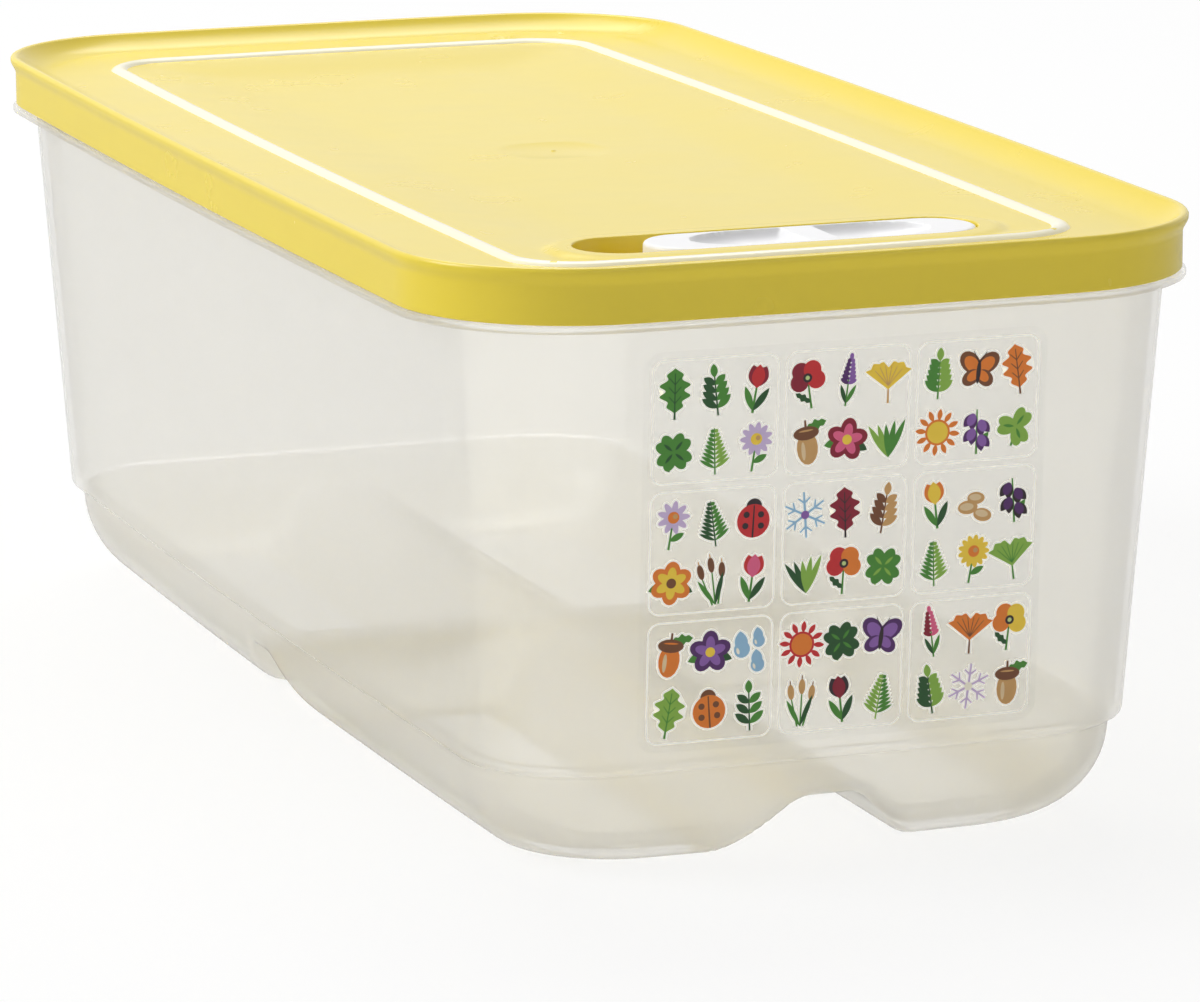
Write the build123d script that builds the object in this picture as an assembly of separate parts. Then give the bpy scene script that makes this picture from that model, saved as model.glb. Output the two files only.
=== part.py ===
from build123d import *
import math
import os

# Produce keeper: a tall clear tub with four corner feet, a press-on lid with a
# stacking bead, a three-position air vent slider and a film chart on one end.
# Millimetres. Origin at the middle of the floor, +Z up, length along Y,
# the vent and the chart at the -Y end.

# Lid, outside
LIP_WIDTH = 178.0
LIP_LENGTH = 372.5
LIP_CORNER = 39.5
LIP_REACH = 1.2
LIP_DEPTH = 3.4
CREST_Z = 131.0
SKIRT_FOOT_Z = 119.1
SKIRT_WALL = 1.6
LID_WALL = 1.7
CREST_BAND = 1.6
COVE_RUN = 8.9
COVE_CURVE = 2.2
BORDER_DROP = 4.0
GROOVE_DROP = 4.5
PLUG_WALL = 1.7
PLUG_FOOT_Z = 121.4

# Lid, stacking bead and panel
BEAD_INSET = 24.8
BEAD_WIDTH = 2.2
BEAD_HEIGHT = 0.9
BEAD_SIDE = 0.6
BEAD_CORNER = 17.0
DISH_CORNER = 12.0
PANEL_DISH = 2.0
DISH_RUN = 28.0
GATE_RADIUS = 12.0
GATE_DEPTH = 0.3

# Tub
TUB_WALL = 1.8
FLANGE_Z = 117.4
FLANGE_THICKNESS = 1.4
FLANGE_OVER_SKIRT = 0.8
WALL_SIDE_INSET = 7.3
WALL_END_INSET = 5.75
WALL_CORNER = 27.0
WALL_DRAFT = 3.5
RIM_WALL = 2.0
RIM_ROUND = 0.7
LEDGE_Z = 22.4
LEDGE_INSET = 2.7
LEDGE_ROUND = 1.8
BASE_RUN = 15.0
BASE_RISE = 20.0
BASE_CORNER = 22.0
SIDE_BOW = 2.0
END_BOW = 1.5

# Air channels under the base, which leave the four feet
CHANNEL_TOP_WIDTH = 14.0
CHANNEL_FOOT_WIDTH = 41.0
CHANNEL_HEIGHT = 13.8
CHANNEL_TOP_ROUND = 7.0
CHANNEL_FOOT_ROUND = 6.0

# Air vent
VENT_END_INSET = 46.75
RECESS_LENGTH = 90.0
RECESS_WIDTH = 20.4
RECESS_DEPTH = 4.7
SURROUND_LAND = 4.0
SURROUND_Z = 127.3
TRAY_WALL = 1.6
SLIDER_TRAVEL = 15.4
SLIDER_GAP = 0.3
SLIDER_HEIGHT = 4.3
SLIDER_ROUND = 0.9
SCOOP_LENGTH = 24.0
SCOOP_WIDTH = 14.5
SCOOP_DEPTH = 2.6
GRIP_BRIDGE = 8.0
HOOK_LENGTH = 10.0
HOOK_WALL = 1.6
HOOK_SPREAD = 30.0
HOOK_SPAN = 7.0
HOOK_BARB = 1.0
HOOK_BARB_HEIGHT = 1.2
GUIDE_GAP = 0.4
VENT_HOLE_LENGTH = 9.0
VENT_HOLE_WIDTH = 4.6
VENT_HOLE_PITCH = 7.6
VENT_HOLE_MARGIN = 3.4

# Film chart on the end wall
CHART_WIDTH = 89.0
CHART_HEIGHT = 85.0
CHART_FOOT_Z = 27.0
CHART_CORNER = 4.0
FILM = 0.25

# Running clearance between lid and tub
LID_GAP = 0.3

# Sizes that follow from the ones above
RIM_INSET = LIP_REACH + SKIRT_WALL + LID_GAP
RIM_TOP_Z = CREST_Z - GROOVE_DROP - LID_GAP
SHELF_Z = FLANGE_Z + FLANGE_THICKNESS
BORDER_Z = CREST_Z - BORDER_DROP
BORDER_UNDER_Z = BORDER_Z - LID_WALL
PLUG_INSET = RIM_INSET + RIM_WALL + LID_GAP
WALL_TOP_WIDTH = LIP_WIDTH - 2 * WALL_SIDE_INSET
WALL_TOP_LENGTH = LIP_LENGTH - 2 * WALL_END_INSET
SLOPE = math.tan(math.radians(WALL_DRAFT))
RECESS_FLOOR_Z = SURROUND_Z - RECESS_DEPTH
TRAY_FOOT_Z = RECESS_FLOOR_Z - TRAY_WALL
SLIDER_X = SLIDER_TRAVEL / 2
SLIDER_LENGTH = RECESS_LENGTH - SLIDER_TRAVEL - 2 * SLIDER_GAP
VENT_Y = VENT_END_INSET - LIP_LENGTH / 2


def outline(width, length, corner, z):
    """A level rounded rectangle whose four sides are slightly bowed."""
    x = width / 2 - SIDE_BOW
    y = length / 2 - END_BOW
    east = ThreePointArc((x, -y), (x + SIDE_BOW, 0), (x, y))
    north = ThreePointArc((x, y), (0, y + END_BOW), (-x, y))
    west = ThreePointArc((-x, y), (-x - SIDE_BOW, 0), (-x, -y))
    south = ThreePointArc((-x, -y), (0, -y - END_BOW), (x, -y))
    face = make_face([east, north, west, south])
    return Pos(0, 0, z) * fillet(face.vertices(), corner)


def lip_outline(inset, z):
    """The lid's own outline, moved inwards by an inset."""
    corner = LIP_CORNER - inset
    return outline(LIP_WIDTH - 2 * inset, LIP_LENGTH - 2 * inset, corner, z)


def lip_stack(steps):
    """A solid through lid outlines, given as pairs of inset and height."""
    return loft([lip_outline(inset, z) for inset, z in steps], ruled=True)


def bead_outline(inset, z):
    """The stacking bead's outline, moved inwards by an inset."""
    edge = BEAD_INSET + inset
    corner = max(BEAD_CORNER - inset, DISH_CORNER)
    return outline(LIP_WIDTH - 2 * edge, LIP_LENGTH - 2 * edge, corner, z)


def bead_stack(steps):
    """A solid through bead outlines, given as pairs of inset and height."""
    return loft([bead_outline(inset, z) for inset, z in steps], ruled=True)


def wall_outline(inset, z):
    """The drafted tub wall's outline at height z, moved inwards by an inset."""
    step_in = inset + SLOPE * (FLANGE_Z - z)
    width = WALL_TOP_WIDTH - 2 * step_in
    length = WALL_TOP_LENGTH - 2 * step_in
    return outline(width, length, WALL_CORNER - inset, z)


def base_solid(wall, top_z):
    """The rounded lower body below the ledge, moved inwards by a wall."""
    corner_drop = (WALL_CORNER - LEDGE_INSET - BASE_CORNER) / 90
    sections = []
    for turn in (90, 66, 44, 22, 0):
        run = BASE_RUN * (1 - math.cos(math.radians(turn)))
        z = wall + (BASE_RISE - wall) * (1 - math.sin(math.radians(turn)))
        step_in = LEDGE_INSET + wall + run + SLOPE * (FLANGE_Z - z)
        corner = WALL_CORNER - LEDGE_INSET - wall - turn * corner_drop
        width = WALL_TOP_WIDTH - 2 * step_in
        length = WALL_TOP_LENGTH - 2 * step_in
        sections.append(outline(width, length, corner, z))
    sections.append(wall_outline(LEDGE_INSET + wall, top_z))
    return loft(sections, ruled=True)


def channel(grow, along_x):
    """An arched air channel under the base, grown outwards by a wall."""
    half_top = CHANNEL_TOP_WIDTH / 2
    half_foot = CHANNEL_FOOT_WIDTH / 2
    outer = half_foot + 4 * CHANNEL_FOOT_ROUND
    foot_z = -0.3
    points = [
        (-outer, foot_z - CHANNEL_HEIGHT),
        (-outer, foot_z),
        (-half_foot, foot_z),
        (-half_top, CHANNEL_HEIGHT),
        (half_top, CHANNEL_HEIGHT),
        (half_foot, foot_z),
        (outer, foot_z),
        (outer, foot_z - CHANNEL_HEIGHT),
    ]
    profile = make_face(Polyline(*points, close=True))
    corners = profile.vertices()
    feet = corners.filter_by(lambda v: abs(v.Y - foot_z) < 0.01 and abs(v.X) < outer - 1)
    profile = fillet(feet, CHANNEL_FOOT_ROUND)
    tops = profile.vertices().filter_by(lambda v: abs(v.Y - CHANNEL_HEIGHT) < 0.01)
    profile = fillet(tops, CHANNEL_TOP_ROUND)
    if grow > 0:
        profile = offset(profile, grow)
    bar = extrude(Plane.XZ * profile, LIP_LENGTH, both=True)
    return Rot(0, 0, 90) * bar if along_x else bar


def wall_solid(inset):
    """The drafted walls above the ledge as one solid, moved inwards by an inset."""
    foot_z = LEDGE_Z + LEDGE_ROUND
    return loft([wall_outline(inset, foot_z), wall_outline(inset, SHELF_Z)], ruled=True)


def make_tub():
    """The clear tub: feet, ledge, drafted walls, flange and upstanding rim."""
    sections = []
    for turn in (90, 45, 0):
        inset = LEDGE_ROUND * (1 - math.cos(math.radians(turn)))
        z = LEDGE_Z + LEDGE_ROUND * (1 - math.sin(math.radians(turn)))
        sections.append(wall_outline(inset, z))
    body = loft(sections, ruled=True) + wall_solid(0)
    body += base_solid(0, LEDGE_Z + LEDGE_ROUND)
    flange_inset = LIP_REACH - FLANGE_OVER_SKIRT
    body += lip_stack([(flange_inset, FLANGE_Z), (flange_inset, SHELF_Z)])
    edge_z = RIM_TOP_Z - RIM_ROUND
    rim = [(RIM_INSET, FLANGE_Z), (RIM_INSET, edge_z), (RIM_INSET + RIM_ROUND, RIM_TOP_Z)]
    body += lip_stack(rim)
    for along_x in (False, True):
        body -= channel(0, along_x)
    hollow = base_solid(TUB_WALL, LEDGE_Z + 2 * TUB_WALL) + wall_solid(TUB_WALL)
    for along_x in (False, True):
        hollow -= channel(TUB_WALL, along_x)
    inner = RIM_INSET + RIM_WALL
    above = (inner - 2 * RIM_ROUND, RIM_TOP_Z + RIM_ROUND)
    hollow += lip_stack([(inner, SHELF_Z), (inner, edge_z), above])
    return body - hollow


def make_film():
    """The thin printed film moulded flush into the end wall."""
    middle_z = CHART_FOOT_Z + CHART_HEIGHT / 2
    window = RectangleRounded(CHART_WIDTH, CHART_HEIGHT, CHART_CORNER)
    prism = extrude(Plane.XZ * window, LIP_LENGTH)
    skin = wall_solid(0) - wall_solid(FILM)
    return skin & (Pos(0, 0, middle_z) * prism)


def pill(length, width, x, z):
    """A level round-ended outline on the vent's centre line."""
    return Pos(x, VENT_Y, z) * SlotOverall(length, width)


def make_vent_seat():
    """The raised surround and the tray that the vent slider runs in."""
    low_z = BORDER_Z - PANEL_DISH - LID_WALL / 2
    spread = SURROUND_LAND + SURROUND_Z - low_z
    low = pill(RECESS_LENGTH + 2 * spread, RECESS_WIDTH + 2 * spread, 0, low_z)
    length = RECESS_LENGTH + 2 * SURROUND_LAND
    width = RECESS_WIDTH + 2 * SURROUND_LAND
    seat = loft([low, pill(length, width, 0, SURROUND_Z)], ruled=True)
    tray = pill(RECESS_LENGTH + 2 * TRAY_WALL, RECESS_WIDTH + 2 * TRAY_WALL, 0, TRAY_FOOT_Z)
    return seat + extrude(tray, RECESS_DEPTH)


def vent_cuts():
    """The recess, its two air holes and the two guide slots."""
    cuts = extrude(pill(RECESS_LENGTH, RECESS_WIDTH, 0, RECESS_FLOOR_Z), 2 * RECESS_DEPTH)
    hole_x = RECESS_LENGTH / 2 - VENT_HOLE_MARGIN - VENT_HOLE_LENGTH / 2
    slot_length = HOOK_LENGTH + SLIDER_TRAVEL + 2 * GUIDE_GAP
    below_z = TRAY_FOOT_Z - TRAY_WALL
    through = 3 * TRAY_WALL
    for side in (-1, 1):
        hole = Rectangle(VENT_HOLE_LENGTH, VENT_HOLE_WIDTH)
        hole_place = Pos(hole_x, VENT_Y + side * VENT_HOLE_PITCH / 2, below_z)
        cuts += extrude(hole_place * hole, through)
        slot = Rectangle(slot_length, HOOK_SPAN + 2 * GUIDE_GAP)
        slot_place = Pos(side * HOOK_SPREAD / 2, VENT_Y, below_z)
        cuts += extrude(slot_place * slot, through)
    return cuts


def make_lid():
    """The press-on lid: skirt, lip, coved border, bead, dished panel and vent seat."""
    steps = [(LIP_REACH, SKIRT_FOOT_Z)]
    for turn in (-90, -40, 0, 40, 90):
        angle = math.radians(turn)
        inset = LIP_REACH * (1 - math.cos(angle))
        steps.append((inset, CREST_Z - LIP_DEPTH / 2 * (1 - math.sin(angle))))
    lid = lip_stack(steps)
    cove = [(CREST_BAND, CREST_Z + 1)]
    for part in (0, 0.2, 0.45, 1):
        z = BORDER_Z + BORDER_DROP * (1 - part) ** COVE_CURVE
        cove.append((CREST_BAND + COVE_RUN * part, z))
    lid -= lip_stack(cove)
    plug_inner = PLUG_INSET + PLUG_WALL
    lid -= lip_stack([(plug_inner, SKIRT_FOOT_Z - 1), (plug_inner, BORDER_UNDER_Z)])
    groove_edge = LIP_REACH + SKIRT_WALL
    groove = lip_stack([(groove_edge, SKIRT_FOOT_Z - 1), (groove_edge, RIM_TOP_Z + LID_GAP)])
    groove -= lip_stack([(PLUG_INSET, PLUG_FOOT_Z), (PLUG_INSET, CREST_Z)])
    lid -= groove
    lid = lid + make_panel() - panel_hollow()
    return lid + make_vent_seat() - vent_cuts()


def make_panel():
    """The stacking bead's ridge and the material under the dished panel."""
    ridge_z = BORDER_Z + BEAD_HEIGHT
    ridge = bead_stack([(0, BORDER_Z - LID_WALL / 2), (0, BORDER_Z), (BEAD_SIDE, ridge_z)])
    under_z = BORDER_UNDER_Z - PANEL_DISH
    middle = BEAD_WIDTH + DISH_RUN
    return ridge + bead_stack([(middle, under_z), (BEAD_WIDTH, BORDER_UNDER_Z), (0, BORDER_Z)])


def panel_hollow():
    """The shallow dish inside the bead, with the gate mark at its middle."""
    inner = BEAD_WIDTH - BEAD_SIDE
    middle = BEAD_WIDTH + DISH_RUN
    dish_z = BORDER_Z - PANEL_DISH
    steps = [(middle, dish_z), (BEAD_WIDTH, BORDER_Z), (inner, BORDER_Z + BEAD_HEIGHT)]
    steps.append((inner, CREST_Z))
    dish = bead_stack(steps)
    gate = Pos(0, 0, dish_z - GATE_DEPTH) * extrude(Circle(GATE_RADIUS), 2 * GATE_DEPTH)
    return dish + gate


def make_slider():
    """The vent slider: two finger scoops, a grip bridge and four snap hooks."""
    width = RECESS_WIDTH - 2 * SLIDER_GAP
    foot_z = RECESS_FLOOR_Z + SLIDER_GAP
    sections = [pill(SLIDER_LENGTH, width, SLIDER_X, foot_z)]
    for turn in (0, 45, 90):
        step_in = SLIDER_ROUND * (1 - math.cos(math.radians(turn)))
        z = foot_z + SLIDER_HEIGHT - SLIDER_ROUND * (1 - math.sin(math.radians(turn)))
        sections.append(pill(SLIDER_LENGTH - 2 * step_in, width - 2 * step_in, SLIDER_X, z))
    slider = loft(sections, ruled=True)
    scoop_x = (GRIP_BRIDGE + SCOOP_LENGTH) / 2
    for side in (-1, 1):
        slider -= make_scoop(SLIDER_X + side * scoop_x, foot_z + SLIDER_HEIGHT)
        slider += Pos(SLIDER_X + side * HOOK_SPREAD / 2, VENT_Y, foot_z) * make_hooks()
    return slider


def make_scoop(x, top_z):
    """A finger scoop: round-ended, with sides that curve in to its floor."""
    sections = [pill(SCOOP_LENGTH, SCOOP_WIDTH, x, top_z + 1)]
    for turn in (0, 40, 75):
        step_in = SCOOP_WIDTH / 2 * (1 - math.cos(math.radians(turn)))
        z = top_z - SCOOP_DEPTH * math.sin(math.radians(turn))
        sections.append(pill(SCOOP_LENGTH - 2 * step_in, SCOOP_WIDTH - 2 * step_in, x, z))
    return loft(sections, ruled=True)


def make_hooks():
    """Two springy legs, back to back, with barbs that catch under the tray."""
    drop = SLIDER_GAP + TRAY_WALL + SLIDER_GAP
    leg_depth = drop + HOOK_BARB_HEIGHT
    reach = HOOK_SPAN / 2 + GUIDE_GAP + HOOK_BARB
    inner = HOOK_SPAN / 2 - HOOK_WALL
    points = [
        (inner, 1),
        (HOOK_SPAN / 2, 1),
        (HOOK_SPAN / 2, -drop),
        (reach, -drop),
        (HOOK_SPAN / 2, -leg_depth),
        (inner, -leg_depth),
    ]
    profile = Plane.YZ * make_face(Polyline(*points, close=True))
    leg = extrude(profile, HOOK_LENGTH / 2, both=True)
    return leg + Rot(0, 0, 180) * leg


os.makedirs("parts", exist_ok=True)
film = make_film()
solids = {
    "tub": make_tub() - film,
    "chart_film": film,
    "lid": make_lid(),
    "vent_slider": make_slider(),
}
for name, solid in solids.items():
    export_step(solid, f"parts/{name}.step")
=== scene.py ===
# %% [markdown]
# A produce keeper is a tall, milky clear tub that stands on four feet, a soft yellow lid with a
# sliding air vent near one end, and a small printed chart on the end wall under the vent. The
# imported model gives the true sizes, so the first step is to load it as a fixed frame.

# %% The frame
import math

import bmesh
import bpy
from mathutils import Matrix, Vector


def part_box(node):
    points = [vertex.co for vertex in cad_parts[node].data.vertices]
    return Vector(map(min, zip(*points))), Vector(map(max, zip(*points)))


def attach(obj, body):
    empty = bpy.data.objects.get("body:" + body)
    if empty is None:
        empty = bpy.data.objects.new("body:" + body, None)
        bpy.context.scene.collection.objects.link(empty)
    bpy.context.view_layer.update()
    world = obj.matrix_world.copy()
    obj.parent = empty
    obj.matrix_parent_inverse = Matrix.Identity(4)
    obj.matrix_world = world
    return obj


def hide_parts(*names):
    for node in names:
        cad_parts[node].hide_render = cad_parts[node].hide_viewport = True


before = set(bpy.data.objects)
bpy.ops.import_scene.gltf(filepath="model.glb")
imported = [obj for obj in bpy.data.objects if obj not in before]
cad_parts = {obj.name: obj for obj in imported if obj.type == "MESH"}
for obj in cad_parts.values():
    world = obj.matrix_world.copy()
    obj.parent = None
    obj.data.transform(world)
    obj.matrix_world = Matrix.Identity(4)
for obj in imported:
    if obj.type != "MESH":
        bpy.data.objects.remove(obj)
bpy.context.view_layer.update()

# %% [markdown]
# Blender measures in metres, and a mould maker thinks in millimetres. One factor keeps the two
# apart. The lid and the tub share their outside sizes, so these are read from the frame.

# %% Shared sizes
MM = 0.001
lid_low, lid_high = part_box("lid")
RIM_TOP_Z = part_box("tub")[1].z
slider_low, slider_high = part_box("vent_slider")
LIP_WIDTH = 178.0 * MM
LIP_LENGTH = 372.5 * MM
LIP_CORNER = 39.5 * MM
CREST_Z = lid_high.z
SKIRT_FOOT_Z = lid_low.z
SIDE_BOW = 2.0 * MM
END_BOW = 1.5 * MM
WALL_TOP_WIDTH = 163.4 * MM
WALL_TOP_LENGTH = 361.0 * MM
WALL_CORNER = 27.0 * MM
FLANGE_Z = 117.4 * MM
SLOPE = math.tan(math.radians(3.5))
TUB_WALL = 1.8 * MM
LID_WALL = 1.7 * MM
print("lid", lid_low, lid_high)

# %% [markdown]
# Both mouldings are rounded rectangles whose sides bow out a little, drawn again and again at
# other sizes. The outline is drawn by stations: each side and each corner always has the same
# number of points, so any two outlines can be joined station by station with clean quads.

# %% The outline
SIDE_STATIONS = 110
END_STATIONS = 44
CORNER_STATIONS = 15


def swell(place, span, bow):
    """How far a bowed side stands out at a place along its half length."""
    return bow * (1 - (place / span) ** 2) if span > 0 else 0.0


def outline(width, length, corner, z, bow=1.0, crowd=1.0):
    """Points of a bowed rounded rectangle; crowd under 1 brings stations to mid-side."""
    bows = (bow * SIDE_BOW, bow * END_BOW)
    reaches = (width / 2 - bows[0], length / 2 - bows[1])
    centre = (reaches[0] - corner, reaches[1] - corner)
    for _ in range(3):
        centre_x = reaches[0] + swell(centre[1], reaches[1], bows[0]) - corner
        centre_y = reaches[1] + swell(centre[0], reaches[0], bows[1]) - corner
        centre = (centre_x, centre_y)
    leans = [2 * bows[n] * centre[1 - n] / max(reaches[1 - n], MM) ** 2 for n in (0, 1)]
    points = []
    for turn in range(4):
        facing = turn % 2
        angle = turn * math.pi / 2
        out = Vector((math.cos(angle), math.sin(angle), 0))
        on = Vector((-out.y, out.x, 0))
        span = centre[1 - facing] + corner * math.sin(leans[facing])
        stations = END_STATIONS if facing else SIDE_STATIONS
        for step in range(stations):
            share = 2 * step / (stations - 1) - 1
            place = span * (crowd * share + (1 - crowd) * share**3)
            reach = reaches[facing] + swell(place, reaches[1 - facing], bows[facing])
            points.append(out * reach + on * place)
        sweep = math.pi / 2 - leans[0] - leans[1]
        for step in range(1, CORNER_STATIONS + 1):
            bend = leans[facing] + sweep * step / (CORNER_STATIONS + 1)
            across = centre[facing] + corner * math.cos(bend)
            along = centre[1 - facing] + corner * math.sin(bend)
            points.append(out * across + on * along)
    for point in points:
        point.z = z
    return points


def lip_outline(inset, z, crowd=1.0):
    """The lid's outside outline, moved inwards."""
    width, length = LIP_WIDTH - 2 * inset, LIP_LENGTH - 2 * inset
    return outline(width, length, LIP_CORNER - inset, z, 1.0, crowd)


print("stations", len(lip_outline(0, 0)))

# %% [markdown]
# A moulding could be carved from a block with booleans, but that leaves ragged shading. Here one
# loop of points is extruded from ring to ring, up the outside and down the inside, as a potter
# pulls a wall, so the whole shell is one closed sheet of quads. Every point remembers its
# station number through the extrusion, and is set down on the next ring at that station.

# %% The shell maker
MERGE = 0.002 * MM
SMOOTH_ANGLE = math.radians(38)


def select(*pieces):
    """Selects pieces alone; the first one is active."""
    bpy.ops.object.select_all(action="DESELECT")
    for piece in pieces:
        piece.select_set(True)
    if pieces:
        bpy.context.view_layer.objects.active = pieces[0]


def mode(name):
    bpy.ops.object.mode_set(mode=name)


def added(operator, **options):
    """Adds an object with an operator, alone in the selection."""
    select()
    operator(**options)
    return bpy.context.object


def thicken(step):
    """Extrudes all that is being edited by a step, and points its faces outwards."""
    bpy.ops.mesh.select_all(action="SELECT")
    bpy.ops.mesh.extrude_region_move(TRANSFORM_OT_translate={"value": step})
    bpy.ops.mesh.select_all(action="SELECT")
    bpy.ops.mesh.normals_make_consistent(inside=False)
    mode("OBJECT")


def finish_mesh(piece):
    """Merges doubles, points the faces outwards and shades smooth up to an angle."""
    select(piece)
    mode("EDIT")
    bpy.ops.mesh.select_all(action="SELECT")
    bpy.ops.mesh.remove_doubles(threshold=MERGE)
    bpy.ops.mesh.dissolve_degenerate(threshold=MERGE)
    bpy.ops.mesh.normals_make_consistent(inside=False)
    mode("OBJECT")
    bpy.ops.object.shade_smooth_by_angle(angle=SMOOTH_ANGLE)


def pull_shell(name, rings):
    """Extrudes a loop of points through a list of rings and closes it."""
    piece = added(bpy.ops.mesh.primitive_circle_add, vertices=len(rings[0]))
    piece.name = name
    mode("EDIT")
    sheet = bmesh.from_edit_mesh(piece.data)
    station = sheet.verts.layers.int.new("station")
    for number, vertex in enumerate(sheet.verts):
        vertex[station] = number
    for count, ring in enumerate(rings):
        if count > 0:
            bpy.ops.mesh.extrude_region_move()
        sheet = bmesh.from_edit_mesh(piece.data)
        sheet.verts.ensure_lookup_table()
        station = sheet.verts.layers.int["station"]
        for vertex in sheet.verts[-len(ring):]:
            vertex.co = ring[vertex[station]]
    bmesh.update_edit_mesh(piece.data)
    mode("OBJECT")
    finish_mesh(piece)
    print(name, "faces", len(piece.data.polygons))
    return piece


def soft_max(a, b, blend):
    """The larger of two heights, with a rounded seam."""
    meet = max(blend - abs(a - b), 0) / blend
    return max(a, b) + meet * meet * blend / 4


def soft_min(a, b, blend):
    """The smaller of two heights, with a rounded seam."""
    return -soft_max(-a, -b, blend)


def block(low, high):
    """A box between two corners."""
    made = added(bpy.ops.mesh.primitive_cube_add)
    for vertex in made.data.vertices:
        vertex.co = [high[n] if vertex.co[n] > 0 else low[n] for n in range(3)]
    return made


def prism(profile, x_from, x_to):
    """Extrudes a profile of (y, z) points along X."""
    made = added(bpy.ops.mesh.primitive_circle_add, vertices=len(profile), fill_type="NGON")
    for vertex, (y, z) in zip(made.data.vertices, profile):
        vertex.co = (x_from, y, z)
    mode("EDIT")
    thicken((x_to - x_from, 0, 0))
    return made


def join(pieces):
    """Joins pieces into the first one."""
    select(*pieces)
    bpy.ops.object.join()
    return pieces[0]


def cut(piece, cutter):
    """Cuts one piece out of another with a boolean that is applied at once."""
    select(piece)
    modifier = piece.modifiers.new("cut", "BOOLEAN")
    modifier.operation = "DIFFERENCE"
    modifier.solver = "EXACT"
    modifier.object = cutter
    bpy.ops.object.modifier_apply(modifier=modifier.name)
    bpy.data.objects.remove(cutter)
    bpy.ops.object.shade_smooth_by_angle(angle=SMOOTH_ANGLE)


def open_edges(piece):
    """How many edges of a piece don't lie between exactly two faces."""
    sheet = bmesh.new()
    sheet.from_mesh(piece.data)
    count = sum(len(edge.link_faces) != 2 for edge in sheet.edges)
    sheet.free()
    return count


# %% [markdown]
# The tub's base is the clever part. Its floor curves up into the walls, and two air channels
# cross under it, so it stands on four corner feet. The same height rule lifts the outside and
# the inside of the floor, one wall apart, so the channels show as low humps inside the tub.

# %% The tub's base
LEDGE_Z = 22.4 * MM
LEDGE_INSET = 2.7 * MM
LEDGE_ROUND = 1.8 * MM
BASE_RUN = 15.0 * MM
BASE_RISE = 20.0 * MM
BASE_CORNER = 22.0 * MM
CHANNEL_TOP = 7.0 * MM
CHANNEL_FOOT = 20.5 * MM
CHANNEL_HEIGHT = 13.8 * MM
CHANNEL_ROUND = 3.0 * MM
TUB_CROWD = 0.55
FLOOR_RINGS = 22
CURVE_RINGS = 14


def wall_outline(inset, z, corner=None):
    """The drafted wall at height z, moved inwards."""
    step_in = inset + SLOPE * (FLANGE_Z - z)
    width, length = WALL_TOP_WIDTH - 2 * step_in, WALL_TOP_LENGTH - 2 * step_in
    return outline(width, length, corner or WALL_CORNER - inset, z, 1.0, TUB_CROWD)


def channel_height(x, y, grow):
    """Height of the crossing air channels over a point, grown by a wall."""
    slope = CHANNEL_HEIGHT / (CHANNEL_FOOT - CHANNEL_TOP)
    tallest = -CHANNEL_HEIGHT
    for away in (abs(x), abs(y)):
        rise = slope * (CHANNEL_FOOT - away) + grow * math.hypot(1, slope)
        height = soft_min(rise, CHANNEL_HEIGHT + grow, CHANNEL_ROUND)
        tallest = soft_max(tallest, height, CHANNEL_ROUND)
    return tallest


def lift(ring, grow):
    """Raises the points of a floor ring over the channels."""
    for point in ring:
        point.z = soft_max(point.z, channel_height(point.x, point.y, grow), CHANNEL_ROUND)
    return ring


def base_rings(wall):
    """Rings of the base from its middle line out to the ledge."""
    rings = []
    step_in = LEDGE_INSET + wall + BASE_RUN + SLOPE * (FLANGE_Z - wall)
    width, length = WALL_TOP_WIDTH - 2 * step_in, WALL_TOP_LENGTH - 2 * step_in
    for step in range(FLOOR_RINGS):
        share = step / FLOOR_RINGS
        inset = width / 2 * (1 - share)
        corner = (BASE_CORNER - wall) * share
        ring = outline(width * share, length - 2 * inset, corner, wall, share, TUB_CROWD)
        rings.append(lift(ring, wall))
    corner_drop = (WALL_CORNER - LEDGE_INSET - BASE_CORNER) / (math.pi / 2)
    for step in range(CURVE_RINGS + 1):
        turn = math.pi / 2 * (1 - step / CURVE_RINGS)
        z = wall + (BASE_RISE - wall) * (1 - math.sin(turn))
        inset = LEDGE_INSET + wall + BASE_RUN * (1 - math.cos(turn))
        corner = WALL_CORNER - LEDGE_INSET - wall - turn * corner_drop
        rings.append(lift(wall_outline(inset, z, corner), wall))
    return rings


# %% [markdown]
# Above the base the wall steps out over a rounded ledge, leans out by three and a half degrees,
# and flares into a thin flange that the lid's skirt stands on. An upstanding rim goes on up into
# the lid. Each change of direction gets two or three close rings, which shade as a small radius.

# %% The tub's walls and rim
RIM_INSET = 3.1 * MM
RIM_WALL = 2.0 * MM
FLANGE_THICKNESS = 1.4 * MM
FLANGE_INSET = 0.4 * MM
FLARE = 1.2 * MM
RIM_SOFT = 0.7 * MM
EDGE = 0.4 * MM
WALL_SHARES = (0.27, 0.5, 0.75)


def arc(start, end, steps=3):
    """Spots (inset, height) round a quarter turn: first up or down, then sideways."""
    spots = []
    for step in range(steps + 1):
        turn = math.pi / 2 * step / steps
        inset = start[0] + (end[0] - start[0]) * (1 - math.cos(turn))
        spots.append((inset, start[1] + (end[1] - start[1]) * math.sin(turn)))
    return spots


def rim_outline(inset, z):
    """The lid outline drawn with the tub's stations."""
    return lip_outline(inset, z, TUB_CROWD)


def draw(make, path):
    """The rings that an outline rule makes along a path of (inset, height) spots."""
    return [make(*spot) for spot in path]


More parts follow.
